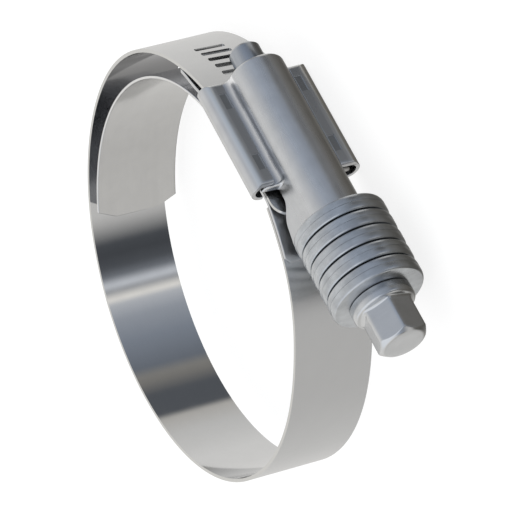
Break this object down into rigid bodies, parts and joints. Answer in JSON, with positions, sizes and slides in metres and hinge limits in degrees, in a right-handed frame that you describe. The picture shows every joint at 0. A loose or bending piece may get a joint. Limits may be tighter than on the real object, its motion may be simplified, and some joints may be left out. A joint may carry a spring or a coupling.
{
  "type": "worm drive hose clamp",
  "caption": "Spring loaded worm drive hose clamp: slotted steel band with an inner liner, a folded housing, a hex head worm screw and a stack of dished washers.",
  "frame": {"origin": "centre of the hose seat, on the band's middle plane", "axes": "+Z along the hose axis, +Y from the hose towards the housing, +X along the screw towards its hexagon"},
  "size_m": [0.0831, 0.0844, 0.0198],
  "materials": {
    "band": "polished rolled strip",
    "liner": "satin rolled strip",
    "saddle": "satin",
    "cover": "satin",
    "screw": "turned, bright",
    "washer": "satin spring steel"
  },
  "bodies": {
    "housing": {"band": "band", "liner": "liner", "saddle": "saddle", "cover": "cover", "washer_1": "washer", "washer_2": "washer", "washer_3": "washer", "washer_4": "washer", "washer_5": "washer", "washer_6": "washer", "washer_7": "washer", "washer_8": "washer", "washer_9": "washer"},
    "thrust_washer": {"washer_10": "washer"},
    "screw": {"screw": "screw"}
  },
  "joints": [
    {"name": "screw_float", "type": "slide", "parent": "housing", "child": "thrust_washer", "axis": [-1, 0, 0], "range_m": [0, 0.0015], "stiffness_N_per_m": 800, "deforming": ["washer_1", "washer_2", "washer_3", "washer_4", "washer_5", "washer_6", "washer_7", "washer_8", "washer_9", "band"]},
    {"name": "screw_spin", "type": "hinge", "parent": "thrust_washer", "child": "screw", "pos_m": [0.027, 0.03933, 0], "axis": [-1, 0, 0], "range_deg": [0, 1800], "deforming": ["band"]}
  ]
}
